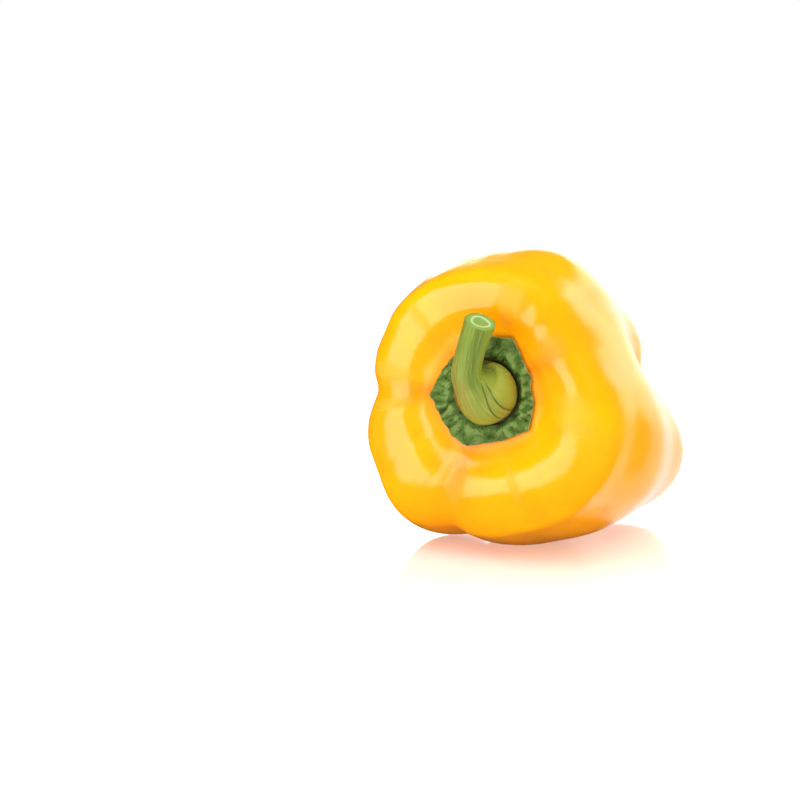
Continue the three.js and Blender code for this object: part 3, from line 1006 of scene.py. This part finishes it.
class PEPPER_OT_stem(bpy.types.Operator):
    """Grows the stem with its broad foot, fibres and cut end"""

    bl_idname = "pepper.stem"
    bl_label = "Stem"

    def execute(self, context):
        sizes, colours = context.scene.pepper_sizes, context.scene.pepper_colours
        share, inner, cut = stem_rows()
        row = np.round(share * (STEM_LINE_POINTS - 1)).astype(int)
        line, along, across, other = (values[row] for values in stem_line(STEM_LINE_POINTS))
        body = stem_radius(share)[:, None]
        angle, share = np.meshgrid(np.linspace(0, 2 * math.pi, STEM_ROUND, endpoint=False), share)
        inner, cut = inner[:, None] * np.ones_like(angle), cut[:, None]
        twist = angle + STEM_TWIST * share
        radius = body * inner
        ribs = STEM_RIB_HEIGHT * np.cos(STEM_RIBS * (angle + math.pi / 2))
        fibres = fibre_relief(angle, share, twist)
        crease = foot_creases(angle, share, radius)
        relief = (ribs + sizes.fibre_height * fibres - FOOT_CREASE_DEPTH * crease) * (1 - cut)
        radius = np.maximum(radius + relief * ramp(share, *RIND_START), THINNEST_RADIUS)
        # The cut: a slightly raised ring of fibres, with the pith a little lower inside it.
        wander = RING_WANDER * np.sin(3 * angle + 1)
        ring = heap(inner - RING_RADIUS - wander, RING_WIDTH) * cut
        face = RING_HEIGHT * ring - PITH_DEPTH * ramp(inner, *PITH_EDGE) - RIM_DEPTH * ramp(inner, *RIM_EDGE)
        turned = np.cos(angle)[..., None] * across[:, None] + np.sin(angle)[..., None] * other[:, None]
        grid = line[:, None] + radius[..., None] * turned + (cut * face)[..., None] * along[:, None]
        first, last = lay_down(np.stack([line[0], line[-1] - PITH_DEPTH * along[-1]]))
        foot = ramp(share, *FOOT_COLOUR_END)
        streaks = ramp(streak_pattern(angle, share, twist), *DARK_STREAKS) * (1 - 0.8 * foot)
        rind_marks = {
            "foot": foot,
            "fibre": FIBRE_PALENESS * ramp(fibres, *PALE_FIBRES),
            "streak": STREAK_DARKNESS * streaks,
            "brown": np.clip(browning(angle, share), 0, 1),
            # Painted shade in the grooves of the foot's creases.
            "crease": CREASE_SHADE_DARKNESS * np.clip(crease, 0, 1),
        }
        marks = {label: values * (1 - cut) for label, values in rind_marks.items()}
        marks = {**marks, "cut": cut * ramp(inner, *CUT_EDGE), "ring": ring}
        stem = capped("stem_stalk", lay_down(grid), first, last, marks, fresh_pepper_stem(colours))
        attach(stem, "root")
        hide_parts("stem")
        return {"FINISHED"}


def towards(azimuth, elevation):
    """The unit vector from the pepper toward a light or the camera."""
    a, e = math.radians(azimuth), math.radians(elevation)
    return Vector((math.sin(a) * math.cos(e), -math.cos(a) * math.cos(e), math.sin(e)))


def softbox(name, to_right, elevation, distance, width, height, radiance, fill=False):
    """A soft rectangular light aimed at the pepper. Its power is pi times its area times its radiance.
    A light that is a fill brightens the pepper without showing in its gloss."""
    data = bpy.data.lights.new(name, "AREA")
    data.shape = "RECTANGLE"
    data.size, data.size_y = width, height
    data.energy = math.pi * width * height * radiance
    lamp = bpy.data.objects.new(name, data)
    middle = Vector((0, 0, LIT_HEIGHT))
    lamp.location = middle + towards(VIEW_AZIMUTH + to_right, elevation) * distance
    lamp.rotation_euler = (middle - lamp.location).to_track_quat("-Z", "Y").to_euler()
    lamp.visible_camera = False
    lamp.visible_glossy = not fill
    bpy.context.scene.collection.objects.link(lamp)


def pale_backdrop(studio):
    """A white surround. The camera sees it white all round, while the pepper mirrors only a bright wall
    behind it, which is low in the middle, grows taller toward the right and is brightest at its top."""
    world = bpy.data.worlds.new("pale_backdrop")
    world.use_nodes = True
    tree = world.node_tree
    tree.nodes.clear()
    direction = add(tree, "TexCoord").outputs["Generated"]
    height = add(tree, "SeparateXYZ", (direction,)).outputs["Z"]
    behind, right = (
        add(tree, "VectorMath", (direction, towards(azimuth, 0)), operation="DOT_PRODUCT").outputs["Value"]
        for azimuth in (VIEW_AZIMUTH + WALL_START + 90, VIEW_AZIMUTH + 90)
    )
    above, below = (
        add(tree, "Math", (right, slope, height), operation="MULTIPLY_ADD").outputs["Value"]
        for slope in (-WALL_TOP_RISE, WALL_FOOT_SINK)
    )
    # Each of these spreads a value smoothly: from, to, and the results there.
    spreads = [
        (behind, *WALL_START_EDGE, 0.0, 1.0),
        (above, *WALL_TOP_EDGE, 1.0, 0.0),
        (below, *WALL_FOOT_EDGE, 0.0, 1.0),
        (height, *WALL_HEIGHTS, WALL_FOOT_SHARE, WALL_TOP_SHARE),
    ]
    past_start, under_top, over_foot, upper = (
        add(tree, "MapRange", spread, interpolation_type="SMOOTHSTEP").outputs["Result"] for spread in spreads
    )
    upright = add(tree, "Math", (under_top, over_foot), operation="MULTIPLY").outputs["Value"]
    wall = add(tree, "Math", (past_start, upright), operation="MULTIPLY").outputs["Value"]
    even = add(tree, "MapRange", (wall, 0.0, 1.0, DIM_ROOM, studio.backdrop), interpolation_type="SMOOTHSTEP")
    glow = add(tree, "Math", (even.outputs["Result"], upper), operation="MULTIPLY").outputs["Value"]
    lit = add(tree, "Background", {"Color": WHITE, "Strength": glow})
    seen = add(tree, "Background", {"Color": WHITE, "Strength": 1.0})
    camera = add(tree, "LightPath").outputs["Is Camera Ray"]
    both = add(tree, "MixShader", (camera, lit.outputs["Background"], seen.outputs["Background"]))
    add(tree, "OutputWorld", {"Surface": both.outputs["Shader"]})
    bpy.context.scene.world = world


class PEPPER_OT_studio(bpy.types.Operator):
    """Sets up the floor, the backdrop, the softboxes and the camera"""

    bl_idname = "pepper.studio"
    bl_label = "Studio"

    def execute(self, context):
        studio = context.scene.pepper_studio
        mesh = bpy.data.meshes.new("floor")
        corners = [(-1, -1, 0), (1, -1, 0), (1, 1, 0), (-1, 1, 0)]
        mesh.from_pydata([Vector(corner) * FLOOR_HALF for corner in corners], [], [(0, 1, 2, 3)])
        mesh.materials.append(white_acrylic_floor(studio))
        floor = bpy.data.objects.new("floor", mesh)
        floor.visible_glossy = False
        context.scene.collection.objects.link(floor)
        pale_backdrop(studio)
        softbox(*SOFTBOX)
        for light in FILLS:
            softbox(*light, fill=True)
        data = bpy.data.cameras.new("camera")
        data.lens = LENS
        data.sensor_width = SENSOR_WIDTH
        data.clip_start = 0.01
        camera = bpy.data.objects.new("camera", data)
        aim = Vector(SEAT) + Vector(AIM_FROM_SEAT)
        camera.location = aim + towards(VIEW_AZIMUTH, VIEW_ELEVATION) * VIEW_DISTANCE
        camera.rotation_euler = (math.radians(90 - VIEW_ELEVATION), 0, math.radians(VIEW_AZIMUTH))
        context.scene.collection.objects.link(camera)
        context.scene.camera = camera
        context.scene.view_settings.view_transform = "Standard"
        return {"FINISHED"}


class PEPPER_PT_panel(bpy.types.Panel):
    """Lists the pieces in the sidebar"""

    bl_label = "Bell pepper"
    bl_idname = "PEPPER_PT_panel"
    bl_space_type = "VIEW_3D"
    bl_region_type = "UI"
    bl_category = "Pepper"

    def draw(self, context):
        for operator in (PEPPER_OT_fruit, PEPPER_OT_calyx, PEPPER_OT_stem, PEPPER_OT_studio):
            self.layout.operator(operator.bl_idname)
        for group in (context.scene.pepper_sizes, context.scene.pepper_colours, context.scene.pepper_studio):
            box = self.layout.box()
            for name in group.__annotations__:
                box.prop(group, name)


CLASSES = (
    PepperSizes,
    PepperColours,
    StudioSettings,
    PEPPER_OT_fruit,
    PEPPER_OT_calyx,
    PEPPER_OT_stem,
    PEPPER_OT_studio,
    PEPPER_PT_panel,
)


def register():
    for each in CLASSES:
        bpy.utils.register_class(each)
    bpy.types.Scene.pepper_sizes = PointerProperty(type=PepperSizes)
    bpy.types.Scene.pepper_colours = PointerProperty(type=PepperColours)
    bpy.types.Scene.pepper_studio = PointerProperty(type=StudioSettings)


def unregister():
    del bpy.types.Scene.pepper_studio
    del bpy.types.Scene.pepper_colours
    del bpy.types.Scene.pepper_sizes
    for each in reversed(CLASSES):
        bpy.utils.unregister_class(each)


def main():
    register()
    bpy.ops.pepper.fruit()
    bpy.ops.pepper.calyx()
    bpy.ops.pepper.stem()
    bpy.ops.pepper.studio()


if __name__ == "__main__":
    main()
